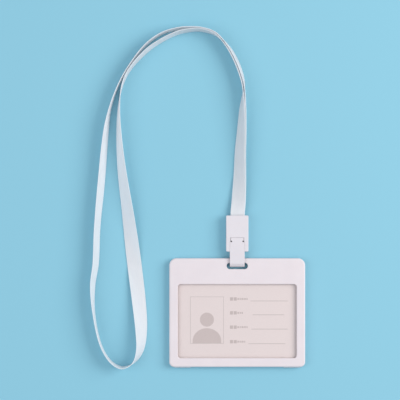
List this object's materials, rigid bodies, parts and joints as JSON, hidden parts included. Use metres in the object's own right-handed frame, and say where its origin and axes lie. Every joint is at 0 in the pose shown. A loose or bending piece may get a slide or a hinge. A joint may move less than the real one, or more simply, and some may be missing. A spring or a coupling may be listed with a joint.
{
  "type": "lanyard badge holder",
  "caption": "Landscape card case with a clear window, hung by its slot from a snap clip on a flat webbing neck loop; lies flat, face up.",
  "frame": {"origin": "on the case's back face, in the middle of its header just below the slot, which is the table plane", "axes": "+X to the right of the case, +Y from the case towards the clip and strap, +Z out of the case's face, with the whole object lying flat"},
  "size_m": [0.15, 0.2387, 0.01],
  "materials": {
    "webbing": "white woven polyester ribbon, faint sheen",
    "clip_plastic": "white moulded plastic, semi-gloss",
    "case_plastic": "white moulded plastic, satin",
    "clear_pane": "clear, slightly hazy sheet",
    "card": "matt pale card stock",
    "pin_steel": "bright drawn wire"
  },
  "bodies": {
    "strap": {"strap_loop": "webbing"},
    "clip": {"clip_front_shell": "clip_plastic", "clip_rear_shell": "clip_plastic", "strap_end_upper": "webbing", "strap_end_lower": "webbing"},
    "tongue": {"snap_tongue": "clip_plastic"},
    "holder": {"front_frame": "case_plastic", "front_pane": "clear_pane", "insert_card": "card", "hinge_pin_left": "pin_steel", "hinge_pin_right": "pin_steel"},
    "rear_door": {"rear_frame": "case_plastic", "rear_pane": "clear_pane"}
  },
  "joints": [
    {"name": "strap_flex", "type": "hinge", "parent": "strap", "child": "clip", "pos_m": [0, 0.0447, 0.0034], "axis": [-1, 0, 0], "range_deg": [0, 60]},
    {"name": "tongue_open", "type": "hinge", "parent": "clip", "child": "tongue", "pos_m": [0, 0.01015, 0.0061], "axis": [1, 0, 0], "range_deg": [0, 110]},
    {"name": "holder_swing", "type": "hinge", "parent": "clip", "child": "holder", "pos_m": [0, 0.0113, 0.00355], "axis": [-1, 0, 0], "range_deg": [0, 125]},
    {"name": "rear_door_open", "type": "hinge", "parent": "holder", "child": "rear_door", "pos_m": [0, -0.0627, 0.00195], "axis": [-1, 0, 0], "range_deg": [0, 110]}
  ]
}
